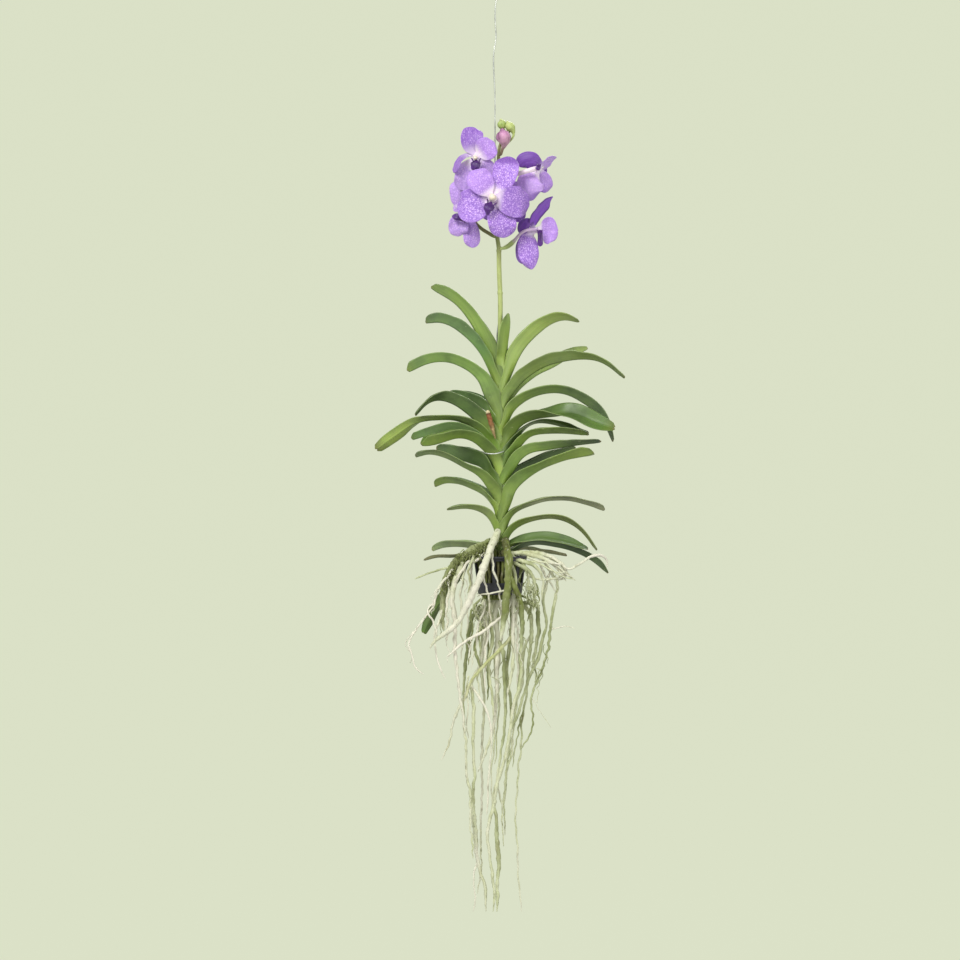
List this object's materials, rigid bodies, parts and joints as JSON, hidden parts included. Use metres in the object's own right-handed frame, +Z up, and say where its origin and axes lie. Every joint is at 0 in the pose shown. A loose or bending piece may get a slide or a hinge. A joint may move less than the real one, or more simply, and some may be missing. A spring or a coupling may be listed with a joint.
{
  "type": "vanda orchid",
  "caption": "Orchid with two ranks of arching folded leaves, one violet flower spike and long bare roots, hanging from a hooked wire in a small net basket.",
  "frame": {"origin": "top inside of the hanger hook, where it bears on what holds it", "axes": "+Z up along the wire, front of the plant towards -Y, leaves spread along X"},
  "size_m": [0.1961, 0.0835, 0.7321],
  "materials": {
    "galvanised_wire": "dull galvanised wire",
    "basket_plastic": "black moulded plastic, satin",
    "stem_skin": "green stem under leaf bases",
    "leaf_young": "waxy light green leaf",
    "leaf_mid": "waxy mid green leaf",
    "leaf_dark": "waxy dark green leaf",
    "leaf_grey": "dusty grey green leaf",
    "leaf_dry": "papery dried leaf",
    "spike_skin": "olive flower stalk",
    "petal": "violet petal with darker net veins",
    "lip": "deep violet lip, satin",
    "bud_green": "green bud",
    "bud_violet": "violet bud",
    "dry_stub": "dried brown stalk, cream cut end",
    "root_white": "cream velamen",
    "root_green": "green root with thin velamen",
    "root_pale": "pale grey green velamen"
  },
  "bodies": {
    "root": {"hanger_wire": "galvanised_wire", "stem_tie": "galvanised_wire", "net_basket": "basket_plastic", "stem": "stem_skin", "leaf_l01": "leaf_young", "leaf_l02": "leaf_mid", "leaf_l03": "leaf_mid", "leaf_l04a": "leaf_dark", "leaf_l04b": "leaf_mid", "leaf_l05": "leaf_mid", "leaf_l06": "leaf_mid", "leaf_l07": "leaf_mid", "leaf_l08a": "leaf_dark", "leaf_l08b": "leaf_dark", "leaf_l09": "leaf_dark", "leaf_l10": "leaf_mid", "leaf_l11": "leaf_grey", "leaf_l12": "leaf_dry", "leaf_l13": "leaf_grey", "leaf_r00": "leaf_young", "leaf_r01": "leaf_young", "leaf_r02a": "leaf_young", "leaf_r02b": "leaf_mid", "leaf_r03": "leaf_mid", "leaf_r04": "leaf_mid", "leaf_r05": "leaf_dark", "leaf_r06": "leaf_mid", "leaf_r07": "leaf_mid", "leaf_r08": "leaf_dark", "leaf_r09": "leaf_dark", "leaf_r10": "leaf_grey", "leaf_r11": "leaf_mid", "leaf_r12": "leaf_grey", "leaf_r13": "leaf_grey", "leaf_r14": "leaf_dry", "flower_spike": "spike_skin", "flower_a": "petal", "lip_a": "lip", "flower_b": "petal", "lip_b": "lip", "flower_c": "petal", "lip_c": "lip", "flower_d": "petal", "lip_d": "lip", "flower_e": "petal", "lip_e": "lip", "flower_f": "petal", "lip_f": "lip", "bud_green_left": "bud_green", "bud_green_right": "bud_green", "bud_violet": "bud_violet", "old_spike_stub": "dry_stub", "root_front_white": "root_white", "root_front_green": "root_green", "root_left_green": "root_green", "roots_left_hanging": "root_pale", "roots_centre_hanging": "root_pale", "roots_right_arch": "root_pale", "roots_right_hanging": "root_pale", "roots_back": "root_pale"}
  },
  "joints": []
}
